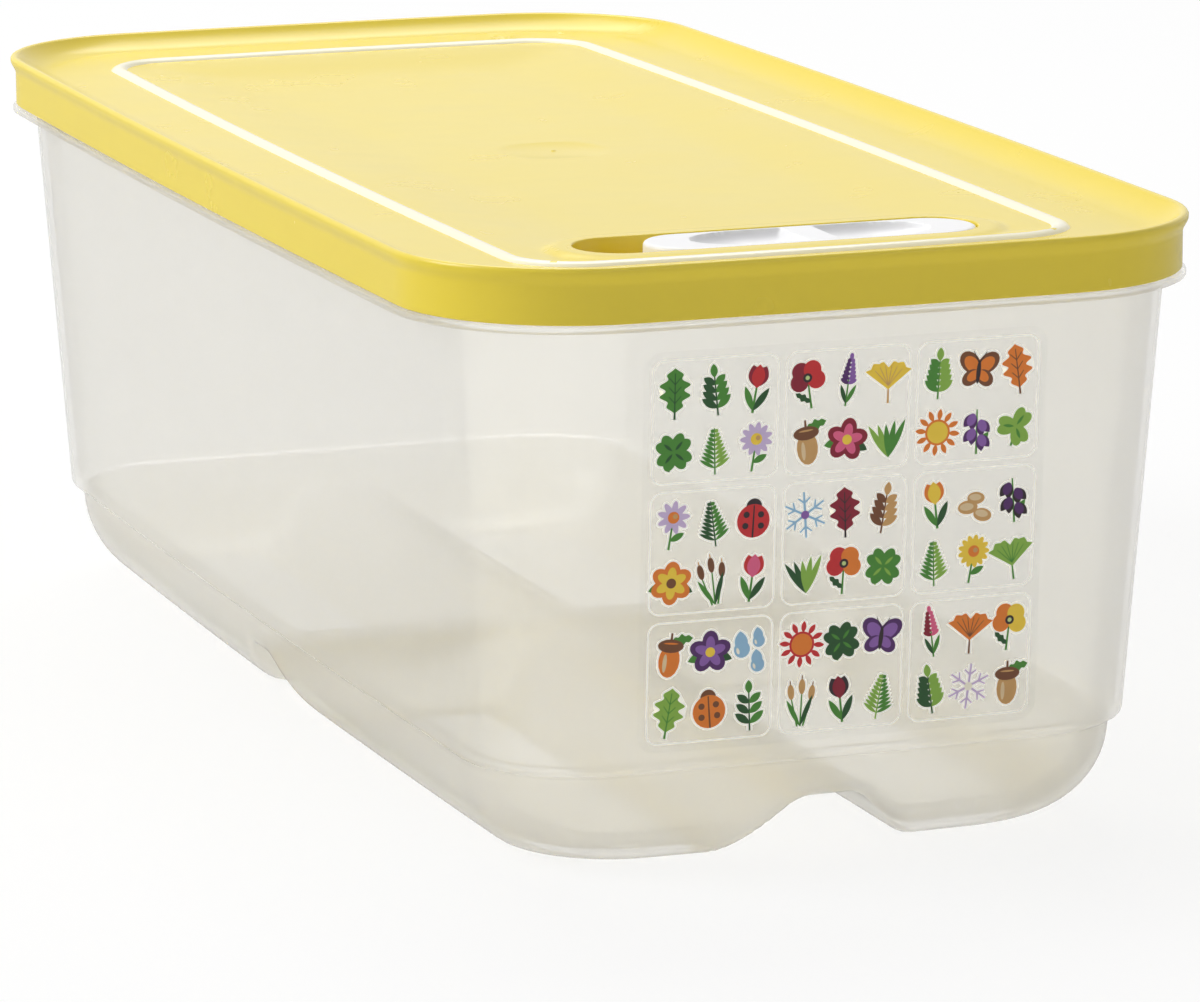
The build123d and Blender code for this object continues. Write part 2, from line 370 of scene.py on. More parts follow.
def tub_rings():
    """All rings of the tub, from under the floor, over the rim, to inside the floor."""
    wall = arc((LEDGE_INSET, LEDGE_Z - EDGE), (LEDGE_INSET - EDGE, LEDGE_Z))
    wall += arc((0, LEDGE_Z + LEDGE_ROUND), (LEDGE_ROUND, LEDGE_Z), 4)[::-1]
    wall += [(0, share * FLANGE_Z) for share in WALL_SHARES]
    wall += arc((0, FLANGE_Z - FLARE), (-FLARE, FLANGE_Z), 4)
    shelf = FLANGE_Z + FLANGE_THICKNESS
    low = RIM_TOP_Z - RIM_SOFT
    inner = RIM_INSET + RIM_WALL
    rim = [(FLANGE_INSET + EDGE, FLANGE_Z), (FLANGE_INSET + EDGE * 0.3, FLANGE_Z + EDGE * 0.3)]
    rim.append((FLANGE_INSET, FLANGE_Z + EDGE))
    rim += arc((FLANGE_INSET, shelf - EDGE), (FLANGE_INSET + EDGE, shelf))
    rim += [(RIM_INSET - EDGE, shelf), (RIM_INSET, shelf + EDGE)]
    rim += arc((RIM_INSET, low), (RIM_INSET + RIM_SOFT, RIM_TOP_Z))
    rim += arc((inner, low), (inner - RIM_SOFT, RIM_TOP_Z))[::-1]
    rim += [(inner, shelf + EDGE), (inner + EDGE, shelf)]
    floor = LEDGE_Z + TUB_WALL
    inside = [(TUB_WALL - EDGE, shelf), (TUB_WALL, shelf - EDGE)]
    inside += [(TUB_WALL, share * FLANGE_Z) for share in WALL_SHARES[::-1]]
    inside += [(TUB_WALL, floor + EDGE), (TUB_WALL + EDGE, floor)]
    inside.append((TUB_WALL + LEDGE_INSET - EDGE, floor))
    rings = base_rings(0) + draw(wall_outline, wall) + draw(rim_outline, rim)
    return rings + draw(wall_outline, inside) + base_rings(TUB_WALL)[::-1]


tub = pull_shell("tub_shell", tub_rings())

# %% [markdown]
# The lid is one soft moulding: a skirt outside the rim, a plug ring inside it, a flared lip on
# top, a hollow cove down to the border, and a raised bead round the panel that keeps a second
# keeper from sliding off. The panel dips towards its middle. It is pulled as one shell again.

# %% The lid's outer part
LIP_REACH = 1.2 * MM
LIP_DEPTH = 4.2 * MM
LIP_SOFT = 0.9 * MM
SKIRT_WALL = 1.6 * MM
FOOT_SOFT = 0.6 * EDGE
CROWN_DROP = 0.1 * MM
CREST_BAND = 1.6 * MM
COVE_RUN = 8.9 * MM
COVE_CURVE = 2.2
BORDER_Z = CREST_Z - 4.0 * MM
PLUG_INSET = 5.4 * MM
PLUG_WALL = 1.7 * MM
PLUG_FOOT_Z = 121.4 * MM
GROOVE_ROOF_Z = RIM_TOP_Z + 0.3 * MM
BEAD_INSET = 24.0 * MM
BEAD_WIDTH = 3.8 * MM
BEAD_HEIGHT = 0.9 * MM
BEAD_CORNER = 17.0 * MM
BEAD_APRON = 2.0 * MM


def bead_outline(inset, z):
    """The stacking bead's outline, moved inwards."""
    edge = BEAD_INSET + inset
    return outline(LIP_WIDTH - 2 * edge, LIP_LENGTH - 2 * edge, BEAD_CORNER - inset, z)


def underside_rings():
    """The lid's hidden side: under the border, round the plug ring and the groove."""
    under = BORDER_Z - LID_WALL
    plug_in = PLUG_INSET + PLUG_WALL
    groove = LIP_REACH + SKIRT_WALL
    path = [(plug_in + 2 * EDGE, under), (plug_in, under - 2 * EDGE)]
    path += [(plug_in, PLUG_FOOT_Z + EDGE), (plug_in - EDGE, PLUG_FOOT_Z)]
    path += [(PLUG_INSET + EDGE, PLUG_FOOT_Z), (PLUG_INSET, PLUG_FOOT_Z + EDGE)]
    path += [(PLUG_INSET, GROOVE_ROOF_Z - EDGE), (PLUG_INSET - EDGE, GROOVE_ROOF_Z)]
    path += [(groove + EDGE, GROOVE_ROOF_Z), (groove, GROOVE_ROOF_Z - EDGE)]
    path += [(groove, SKIRT_FOOT_Z + FOOT_SOFT), (groove - FOOT_SOFT, SKIRT_FOOT_Z)]
    return draw(bead_outline, [(BEAD_WIDTH, under), (0, under)]) + draw(lip_outline, path)


def outside_rings():
    """The skirt, the flared lip, the cove, the border and the stacking bead."""
    path = [(LIP_REACH + FOOT_SOFT, SKIRT_FOOT_Z), (LIP_REACH, SKIRT_FOOT_Z + FOOT_SOFT)]
    for step in range(9):
        share = step / 8
        inset = LIP_REACH * (1 + math.cos(math.pi * share)) / 2
        path.append((inset, CREST_Z - LIP_DEPTH + (LIP_DEPTH - LIP_SOFT) * share))
    path += arc((0, CREST_Z - LIP_SOFT), (LIP_SOFT, CREST_Z), 5)[1:]
    crown_z = CREST_Z - CROWN_DROP
    path.append((CREST_BAND, crown_z))
    for step in range(1, 15):
        share = (step / 14) ** 1.3
        z = BORDER_Z + (crown_z - BORDER_Z) * (1 - share) ** COVE_CURVE
        path.append((CREST_BAND + COVE_RUN * share, z))
    bead = [(-BEAD_APRON, BORDER_Z)]
    for step in range(9):
        share = step / 8
        bead.append((BEAD_WIDTH * share, BORDER_Z + BEAD_HEIGHT * math.sin(math.pi * share) ** 0.7))
    return draw(lip_outline, path) + draw(bead_outline, bead)


print("lid rings", len(underside_rings()) + len(outside_rings()))

# %% [markdown]
# Near one end of the panel lies the vent: a round-ended recess in a raised surround. Its edge
# has to be a clean loop of its own, so each station of the bead is led to the nearest spot on the
# recess's outline, and the rings between the two are spaced closely where the surround slopes.

# %% The lid's panel and vent recess
VENT_Y = (slider_low.y + slider_high.y) / 2
RECESS_HALF = 45.0 * MM
RECESS_RADIUS = 10.2 * MM
RECESS_LAND = 0.5 * MM
RECESS_SOFT = 0.35 * MM
SURROUND_LAND = 4.0 * MM
SURROUND_Z = 127.3 * MM
SURROUND_SLOPE = 2.6 * MM
RECESS_FLOOR_Z = SURROUND_Z - 4.7 * MM
TRAY_WALL = 1.6 * MM
PANEL_DISH = 2.0 * MM
DISH_RUN = 30.0 * MM
NEAR_RINGS = (0.5, 1.2, 2.2, 3.2, 4.0, 4.6, 5.2, 5.8, 6.4, 7.2)
FAR_RINGS = 46


def spine_point(point):
    """The nearest spot to a point on the recess's middle line."""
    reach = RECESS_HALF - RECESS_RADIUS
    return Vector((max(-reach, min(reach, point.x)), VENT_Y, 0))


def smooth_step(share):
    """A ramp from 0 to 1 with soft ends."""
    share = max(0.0, min(1.0, share))
    return share * share * (3 - 2 * share)


def panel_z(x, y):
    """Height of the panel's top: a shallow dish, raised round the vent."""
    half_x = LIP_WIDTH / 2 - BEAD_INSET - BEAD_WIDTH
    half_y = LIP_LENGTH / 2 - BEAD_INSET - BEAD_WIDTH
    depth = min(half_x - abs(x), half_y - abs(y))
    dish = BORDER_Z - PANEL_DISH * smooth_step(depth / DISH_RUN)
    away = (Vector((x, y, 0)) - spine_point(Vector((x, y, 0)))).length - RECESS_RADIUS
    share = smooth_step((away - SURROUND_LAND + 0.5 * MM) / (SURROUND_SLOPE + 1.0 * MM))
    return dish + (SURROUND_Z - dish) * (1 - share)


def pill_ring(radius, z):
    """A round-ended ring about the vent's middle line, station by station."""
    ring = []
    for point in bead_outline(BEAD_WIDTH, z):
        spine = spine_point(point)
        out = Vector((point.x, point.y, 0)) - spine
        spot = spine + out.normalized() * radius
        spot.z = z
        ring.append(spot)
    return ring


def panel_rings(radius, drop):
    """Rings from the vent's outline out to the bead, set down by a wall."""
    inner = pill_ring(radius, 0)
    outer = bead_outline(BEAD_WIDTH, 0)
    rings = []
    for away in NEAR_RINGS:
        rings.append([a + (b - a).normalized() * away * MM for a, b in zip(inner, outer)])
    last = rings[-1]
    for step in range(1, FAR_RINGS):
        share = step / FAR_RINGS
        rings.append([a + (b - a) * share for a, b in zip(last, outer)])
    for ring in rings:
        for point in ring:
            point.z = panel_z(point.x, point.y) - drop
    return rings


def recess_rings():
    """From the surround over a rounded edge, down the recess and across its floor."""
    path = [(RECESS_RADIUS + RECESS_LAND, SURROUND_Z - 0.01 * MM)]
    soft_end = (RECESS_RADIUS + RECESS_SOFT, SURROUND_Z)
    path += arc((RECESS_RADIUS, SURROUND_Z - RECESS_SOFT), soft_end)[::-1]
    path += [(RECESS_RADIUS, RECESS_FLOOR_Z + EDGE), (RECESS_RADIUS - EDGE, RECESS_FLOOR_Z)]
    path += [(RECESS_RADIUS / 2, RECESS_FLOOR_Z), (0, RECESS_FLOOR_Z)]
    return draw(pill_ring, path)


def tray_rings():
    """The tray's outside, from its middle line up to the panel's underside."""
    foot = RECESS_FLOOR_Z - TRAY_WALL
    radius = RECESS_RADIUS + TRAY_WALL
    path = [(0, foot), (radius / 2, foot), (radius - EDGE, foot), (radius, foot + EDGE)]
    return draw(pill_ring, path)


lid_stack = tray_rings() + panel_rings(RECESS_RADIUS + TRAY_WALL, LID_WALL)
lid_stack += underside_rings() + outside_rings()
lid_stack += panel_rings(RECESS_RADIUS + RECESS_LAND, 0)[::-1] + recess_rings()
lid = pull_shell("lid_shell", lid_stack)

# %% [markdown]
# The tray's floor has two air holes, which the slider covers, and two slots that its hooks run in.
# The shallow disc in the middle of the panel is the gate mark, where the plastic flowed into the
# mould. All of them are crisp and flat, so here a boolean is the right tool.

# %% The tray's openings and the gate mark
HOLE_SIZE = (9.0 * MM, 4.6 * MM)
HOLE_X = RECESS_HALF - 3.4 * MM - HOLE_SIZE[0] / 2
HOLE_PITCH = 7.6 * MM
SLOT_SIZE = (26.2 * MM, 7.8 * MM)
HOOK_X = 15.0 * MM
GATE_RADIUS = 12.0 * MM
GATE_SLOPE = 1.0 * MM
GATE_DEPTH = 0.17 * MM
GATE_NIB = 0.8 * MM


def through_tray(x, y, size):
    """A cutter through the tray's floor."""
    half_x, half_y = size[0] / 2, size[1] / 2
    top = RECESS_FLOOR_Z + TRAY_WALL
    return block((x - half_x, y - half_y, top - 4 * TRAY_WALL), (x + half_x, y + half_y, top))


def dot(foot_radius, top_radius, depth, z):
    """A short upright cone at the middle of the lid."""
    radii = {"radius1": foot_radius, "radius2": top_radius}
    made = added(bpy.ops.mesh.primitive_cone_add, vertices=96, depth=depth, **radii)
    for vertex in made.data.vertices:
        vertex.co.z += z
    return made


panel_floor = BORDER_Z - PANEL_DISH
cutters = [through_tray(HOLE_X, VENT_Y + side * HOLE_PITCH / 2, HOLE_SIZE) for side in (-1, 1)]
cutters += [through_tray(side * HOOK_X, VENT_Y, SLOT_SIZE) for side in (-1, 1)]
gate_radii = (GATE_RADIUS - GATE_SLOPE, GATE_RADIUS + GATE_SLOPE)
cutters.append(dot(*gate_radii, 2 * GATE_DEPTH, panel_floor))
print("lid open edges before the cuts", open_edges(lid))
cut(lid, join(cutters))
nib = dot(GATE_NIB, GATE_NIB / 2, 2 * GATE_DEPTH, panel_floor - GATE_DEPTH)
lid = join([lid, nib])
print("lid faces after the cuts", len(lid.data.polygons))

# %% [markdown]
# The slider is pulled like the lid, from its own ring list: a round-ended bar with a soft top
# edge, two finger scoops and a bridge between them that the thumb pushes against.

# %% The vent slider
SLIDER_X = (slider_low.x + slider_high.x) / 2
SLIDER_HALF = (slider_high.x - slider_low.x) / 2
SLIDER_RADIUS = (slider_high.y - slider_low.y) / 2
SLIDER_TOP_Z = slider_high.z
SLIDER_FOOT_Z = RECESS_FLOOR_Z + 0.3 * MM
SCOOP_LENGTH = 23.5 * MM
SCOOP_HALF_WIDTH = 8.3 * MM
SCOOP_DEPTH = 3.3 * MM
SCOOP_WALL = 1.4 * MM
BRIDGE_HALF = 3.2 * MM
SLIDER_SOFT = 0.9 * MM
TOP_RINGS = 28
BAR_STATIONS = 110
CAP_STATIONS = 28


def bar_ring(radius, z):
    """A round-ended ring of the slider."""
    reach = SLIDER_HALF - SLIDER_RADIUS
    points = []
    for side in (1, -1):
        for step in range(BAR_STATIONS):
            x = side * reach * (1 - 2 * step / (BAR_STATIONS - 1))
            points.append(Vector((SLIDER_X + x, VENT_Y + side * radius, z)))
        for step in range(1, CAP_STATIONS + 1):
            turn = math.pi * step / (CAP_STATIONS + 1)
            x = -side * (reach + radius * math.sin(turn))
            points.append(Vector((SLIDER_X + x, VENT_Y + side * radius * math.cos(turn), z)))
    return points


def scoop_depth(x, y):
    """How deep the finger scoops are: troughs with a steep end at the bridge."""
    along = abs(x - SLIDER_X) - BRIDGE_HALF
    if not 0 < along < SCOOP_LENGTH:
        return 0.0
    across = 1 - ((y - VENT_Y) / SCOOP_HALF_WIDTH) ** 2
    end = min(1.0, (SCOOP_LENGTH - along) / (SCOOP_LENGTH * 0.55))
    across -= (1 - end) ** 2
    if across <= 0:
        return 0.0
    return SCOOP_DEPTH * across**0.55 * smooth_step(along / SCOOP_WALL)


def slider_rings():
    """The slider's rings from its foot over the soft edge to its middle line."""
    inner = SLIDER_RADIUS - SLIDER_SOFT
    path = [(0, SLIDER_FOOT_Z), (SLIDER_RADIUS - EDGE, SLIDER_FOOT_Z)]
    path.append((SLIDER_RADIUS, SLIDER_FOOT_Z + EDGE))
    path += arc((SLIDER_RADIUS, SLIDER_TOP_Z - SLIDER_SOFT), (inner, SLIDER_TOP_Z), 5)
    shares = [step / TOP_RINGS for step in range(1, TOP_RINGS + 1)]
    top = draw(bar_ring, [(inner * (1 - share), SLIDER_TOP_Z) for share in shares])
    for point in sum(top, []):
        point.z -= scoop_depth(point.x, point.y)
    return draw(bar_ring, path) + top


slider = pull_shell("vent_slider_shell", slider_rings())

# %% [markdown]
# Four springy legs with barbs reach through the slots and hold the slider under the tray. Each
# pair is one profile that is pushed along the slider, and its mirror image.

# %% The slider's hooks
HOOK_HALF_LENGTH = 5.0 * MM
HOOK_WALL = 1.6 * MM
HOOK_OUT = 3.5 * MM
HOOK_BARB = 1.4 * MM
HOOK_DROP = 2.2 * MM
BARB_HEIGHT = 1.2 * MM


def hook(x, side):
    """One leg of a pair, with its barb on the outside."""
    inner = VENT_Y + side * (HOOK_OUT - HOOK_WALL)
    outer = VENT_Y + side * HOOK_OUT
    barb_z = SLIDER_FOOT_Z - HOOK_DROP
    top_z = SLIDER_FOOT_Z + 0.5 * MM
    foot_z = barb_z - BARB_HEIGHT
    profile = [(inner, top_z), (outer, top_z), (outer, barb_z)]
    profile += [(outer + side * HOOK_BARB, barb_z), (outer, foot_z), (inner, foot_z)]
    return prism(profile, x - HOOK_HALF_LENGTH, x + HOOK_HALF_LENGTH)


hooks = [hook(SLIDER_X + end * HOOK_X, side) for end in (-1, 1) for side in (-1, 1)]
slider = join([slider] + hooks)
print("slider faces with its hooks", len(slider.data.polygons))

# %% [markdown]
# A thin clear film with a printed chart is moulded into the end wall. The wall leans and bows,
# so one rule gives its surface, and the film and every printed shape are laid on it by that rule.

# %% The chart film
CHART_HALF_WIDTH = 44.5 * MM
CHART_FOOT_Z = 27.0 * MM
CHART_TOP_Z = 112.0 * MM
CHART_CORNER = 4.0 * MM
FILM_PROUD = 0.03 * MM


def wall_spot(x, z, proud):
    """A point on the end wall, or a little in front of it."""
    step_in = SLOPE * (FLANGE_Z - z)
    reach_x = WALL_TOP_WIDTH / 2 - step_in - SIDE_BOW
    reach_y = WALL_TOP_LENGTH / 2 - step_in - END_BOW
    return Vector((x, -reach_y - swell(x, reach_x, END_BOW) - proud, z))


def round_box(left, foot, right, top, corner, side_steps, corner_steps=6):
    """Points round a rounded rectangle, anticlockwise from its lower right."""
    middle_x, middle_z = (left + right) / 2, (foot + top) / 2
    half_x, half_z = (right - left) / 2 - corner, (top - foot) / 2 - corner
    signs = ((1, -1), (1, 1), (-1, 1), (-1, -1))

    def spot(turn, bend):
        across, up = signs[turn % 4]
        x = middle_x + across * half_x + corner * math.cos(bend)
        return x, middle_z + up * half_z + corner * math.sin(bend)

    points = []
    for turn in range(4):
        for step in range(corner_steps + 1):
            points.append(spot(turn, math.pi / 2 * (turn - 1 + step / corner_steps)))
        start, end = points[-1], spot(turn + 1, math.pi / 2 * turn)
        for share in [step / side_steps for step in range(1, side_steps)]:
            points.append(tuple(a + (b - a) * share for a, b in zip(start, end)))
    return points


def film_rings():
    """Rings of the film, from the middle of its back round the edge to the front."""
    edge = round_box(-CHART_HALF_WIDTH, CHART_FOOT_Z, CHART_HALF_WIDTH, CHART_TOP_Z,
                     CHART_CORNER, 16)
    middle_z = (CHART_FOOT_Z + CHART_TOP_Z) / 2
    shares = [step / 12 for step in range(13)]
    rings = []
    for proud, steps in ((0.005 * MM, shares), (FILM_PROUD, shares[::-1])):
        for share in steps:
            rings.append([wall_spot(x * share, middle_z + (z - middle_z) * share, proud)
                          for x, z in edge])
    return rings


film = pull_shell("chart_film_sheet", film_rings())

# %% [markdown]
# The chart has rounded cells with small pictures of garden flowers, leaves, seeds, weather signs
# and small animals. Each picture is a few flat shapes with an off-white edge, and each shape is a
# rule in the plane. Complex numbers suit this: adding one moves a point, and multiplying by one
# turns it.

# %% Shapes for the chart
import cmath

PETAL_POINTS = 16


def heading(lean):
    """A unit step in a direction given in degrees."""
    return cmath.rect(1.0, math.radians(lean))


def turns(count, start=90):
    """Directions spread evenly round a circle, in degrees."""
    return [start + 360 * n / count for n in range(count)]


def disc(centre, radius, points=20):
    """A round dot."""
    return [centre + cmath.rect(radius, 2 * math.pi * n / points) for n in range(points)]


def petal(base, length, width, lean):
    """An oval that grows from its base."""
    shape = []
    for spot in disc(0, 1, PETAL_POINTS):
        oval = complex(length / 2 * (1 - spot.real), -width / 2 * spot.imag)
        shape.append(base + oval * heading(lean))
    return shape


def leaf(base, length, width, lean, lobes=0):
    """A leaf with two points, and a wavy edge where it has lobes."""
    steps = max(8, 8 * lobes)
    right = []
    left = []
    for n in range(steps + 1):
        share = n / steps
        half = width / 2 * math.sin(math.pi * share) ** 0.8
        half *= 1 - 0.22 * (1 + math.cos(2 * math.pi * lobes * share)) if lobes else 1
        right.append(base + complex(length * share, -half) * heading(lean))
        left.append(base + complex(length * share, half) * heading(lean))
    return right + left[-2:0:-1]


def stalk(start, end, width):
    """A straight stem that narrows a little."""
    side = (end - start) / abs(end - start) * 1j * width / 2
    return [start - side, end - side * 0.7, end + side * 0.7, start + side]


def fan(base, radius, spread, notch):
    """A fan-shaped leaf with a notch at the middle of its edge."""
    shape = [base]
    for n in range(21):
        share = n / 20
        edge = 1 + 0.05 * math.cos(10 * math.pi * share) - notch * math.exp(-((share - 0.5) * 9) ** 2)
        shape.append(base + radius * edge * heading(90 - spread / 2 + spread * share))
    return shape


print("a leaf has", len(leaf(0, 1, 1, 0)), "points")

# %% [markdown]
# A picture is a list of inks and shapes, from the back to the front, in a square that reaches
# from -4 to 4 both ways.

# %% Flowers
def tulip(main, shade):
    parts = [("green", stalk(-4j, 0.6j, 0.42))]
    parts += [("deep_green", leaf(-3.7j, 4.4, 1.15, 61)), ("green", leaf(-3.7j, 4.2, 1.1, 117))]
    parts += [(shade, leaf(0.1j, 3.6, 2.2, 108)), (shade, leaf(0.1j, 3.6, 2.2, 72))]
    return parts + [(main, leaf(-0.1j, 3.8, 2.2, 90))]


def daisy(main, heart, count=11):
    parts = [("green", stalk(-4j, 1j, 0.36)), ("green", leaf(-2.6j, 2.6, 1.1, 35))]
    parts += [(main, petal(1.2j, 2.7, 1.05, lean)) for lean in turns(count)]
    return parts + [(heart, disc(1.2j, 0.95)), ("tan", disc(0.25 + 1.4j, 0.4))]


def poppy(main, shade):
    parts = [("green", stalk(-4j, 0.5j, 0.36)), ("deep_green", leaf(-3j, 3.0, 1.3, 140, 3))]
    for lean in (200, -20, 130, 50):
        parts.append((shade if lean > 100 else main, petal(1j, 3.0, 3.0, lean)))
    return parts + [("ink_black", disc(1j, 0.75)), ("pale_green", disc(1j, 0.35))]


def bellflower(main, shade):
    parts = [("green", stalk(-4j, 3.2j, 0.34)), ("green", leaf(-3j, 3.2, 1.2, 50))]
    for n, (side, z) in enumerate(((-1, 2.6), (1, 1.5), (-1, 0.2), (1, -0.9))):
        top = complex(side * 0.5, z)
        lean = -90 + side * 24
        parts += [(shade, leaf(top, 2.7, 1.5, lean + by)) for by in (16, -16)]
        parts.append((main, petal(top, 2.1, 1.5, lean)))
    return parts


def lavender(main, shade):
    parts = [("green", stalk(-4j, 0.5j, 0.3)), ("green", leaf(-3.6j, 3.4, 0.7, 66))]
    parts.append(("deep_green", leaf(-3.6j, 3.2, 0.7, 112)))
    for n in range(6):
        z, wide = (-0.4 + 0.7 * n) * 1j, 1.5 - 0.16 * n
        parts += [(shade, petal(z, wide, 0.75, 150)), (main, petal(z, wide, 0.75, 30))]
    return parts + [(main, petal(3.5j, 1.0, 0.7, 90))]


def bloom(main, shade, heart, count=5):
    """A flower seen from above, without a stem."""
    parts = [("green", leaf(0, 3.9, 1.7, 200)), ("deep_green", leaf(0, 3.9, 1.7, -20))]
    parts += [(shade, petal(0, 3.5, 2.7, lean)) for lean in turns(count)]
    parts += [(main, petal(0, 2.6, 1.5, lean)) for lean in turns(count)]
    return parts + [(heart, disc(0, 0.8))]


# %% Leaves and seeds
def sprig(main, shade, pairs=4):
    parts = [(shade, stalk(-4j, 2.6j, 0.3))]
    for n in range(pairs):
        z, size = (-2.8 + 5.0 * n / pairs) * 1j, 3.0 - 0.25 * n
        parts += [(main, leaf(z, size, 1.25, 38)), (shade, leaf(z, size, 1.25, 142))]
    return parts + [(main, leaf(2.1j, 2.2, 1.2, 90))]


def fern(main, shade):
    parts = [(shade, stalk(-4j, 3.4j, 0.26))]
    for n in range(9):
        z, size = (-3.0 + 0.72 * n) * 1j, 2.9 - 0.27 * n
        parts += [(main, leaf(z, size, 0.62, 32)), (shade, leaf(z, size, 0.62, 148))]
    return parts


def oak_leaf(main, shade):
    parts = [(shade, stalk(-4.2j, -2j, 0.36)), (main, leaf(-3.2j, 7.2, 5.4, 90, 4))]
    parts.append((shade, stalk(-3.2j, 3.2j, 0.22)))
    for n in range(3):
        z = (-1.6 + 1.5 * n) * 1j
        parts += [(shade, stalk(z, z + 1.5 * heading(side), 0.16)) for side in (48, 132)]
    return parts


def ginkgo(main, shade):
    parts = [(shade, stalk(-4j, -1.2j, 0.34)), (main, fan(-1.8j, 4.7, 104, 0.2))]
    tips = [-1.8j + 3.9 * heading(lean) for lean in (54, 68, 82, 98, 112, 126)]
    return parts + [(shade, stalk(-1.2j, tip, 0.14)) for tip in tips]


def clover(main, shade, count=4):
    parts = [(shade, stalk(-3.2 * heading(70), 0, 0.34))]
    for lean in turns(count, 45):
        parts += [(main, petal(0, 3.2, 2.0, lean + 17)), (main, petal(0, 3.2, 2.0, lean - 17))]
        parts.append((shade, leaf(0.3 * heading(lean), 1.9, 0.5, lean)))
    return parts


def acorn(main, shade):
    parts = [("green", leaf(2.2j, 3.6, 1.9, 12, 3)), (shade, stalk(1.6j, 3.6j, 0.45))]
    parts += [(main, petal(-3.6j, 5.4, 3.5, 90)), ("pale_tan", petal(-0.7 - 2.8j, 3.0, 0.7, 90))]
    return parts + [(shade, petal(0.4j, 2.2, 4.3, 90)), (main, petal(1.9j - 1.2, 2.4, 0.3, 0))]


def cattail(main, shade):
    parts = []
    for x, z, lean in ((-1.5, 0.4, 96), (0.2, 1.2, 90), (1.7, 0.1, 83)):
        top = complex(x, z)
        parts += [("green", stalk(-4j + 0.3 * x, top, 0.3)), (main, petal(top, 2.5, 1.1, lean))]
        parts.append((shade, leaf(top + 2.3 * heading(lean), 0.9, 0.2, lean)))
    return parts + [("deep_green", leaf(-4j, 5.4, 0.8, 68)), ("green", leaf(-4j, 5.0, 0.8, 118))]


def grass(main, shade):
    leans = enumerate((60, 118, 75, 104, 90))
    return [((main, shade)[n % 2], leaf(-3.4j, 6.6 - 0.3 * n, 1.0, lean)) for n, lean in leans]


# %% Weather and small animals
def sun(main, shade):
    parts = [(shade, leaf(1.9 * heading(lean), 1.9, 0.85, lean)) for lean in turns(12, 0)]
    return parts + [(shade, disc(0, 2.1, 28)), (main, disc(0, 1.75, 28))]


def drops(main, shade):
    parts = []
    for place, size in ((-1.4 + 0.4j, 1.0), (1.5 + 1.2j, 0.75), (0.9 - 2.6j, 0.85)):
        parts += [(main, petal(place - 1.6j * size, 2.8 * size, 2.7 * size, 90))]
        parts += [(main, leaf(place - 0.8j * size, 3.6 * size, 2.2 * size, 90))]
        parts.append((shade, petal(place + (-0.6 - 0.9j) * size, 1.1 * size, 0.5 * size, 100)))
    return parts


def snowflake(main, shade):
    parts = []
    for arm in map(heading, turns(6, 30)):
        parts.append((main, stalk(0, 3.7 * arm, 0.42)))
        for side in (-50, 50):
            parts.append((main, stalk(1.9 * arm, 1.9 * arm + 1.3 * arm * heading(side), 0.32)))
    return parts + [(shade, disc(0, 0.7, 12))]


def butterfly(main, shade):
    parts = []
    for side in (1, -1):
        upper, lower = 90 - side * 48, 90 - side * 130
        parts += [(shade, petal(0, 4.2, 3.0, upper)), (main, petal(0, 3.3, 2.1, upper))]
        parts += [(shade, petal(0, 3.2, 2.4, lower)), (main, petal(0, 2.3, 1.5, lower))]
        parts.append(("ink_black", stalk(1.2j, 3.2j + side * 1.1, 0.16)))
    return parts + [("ink_black", petal(-2j, 3.8, 0.75, 90))]


def ladybird(main, shade):
    parts = [(shade, disc(2.0j, 1.3)), (main, disc(-0.3j, 2.7, 26)), (shade, stalk(-3j, 2.2j, 0.3))]
    dots = (1.2 + 0.7j, -1.2 + 0.7j, 1.3 - 1.1j, -1.3 - 1.1j)
    return parts + [(shade, disc(dot, 0.52, 12)) for dot in dots]


def pebbles(main, shade):
    parts = []
    for place, size, lean in ((-2.6 - 1.4j, 3.4, 10), (0.2 - 1.9j, 3.2, -6), (-1.3 + 0.4j, 3.0, 4)):
        parts += [(shade, petal(place, size, size * 0.66, lean))]
        parts += [(main, petal(place + 0.3 + 0.15j, size * 0.7, size * 0.36, lean))]
    return parts


# %% [markdown]
# The chart has three columns and three rows of rounded cells, each with six pictures.

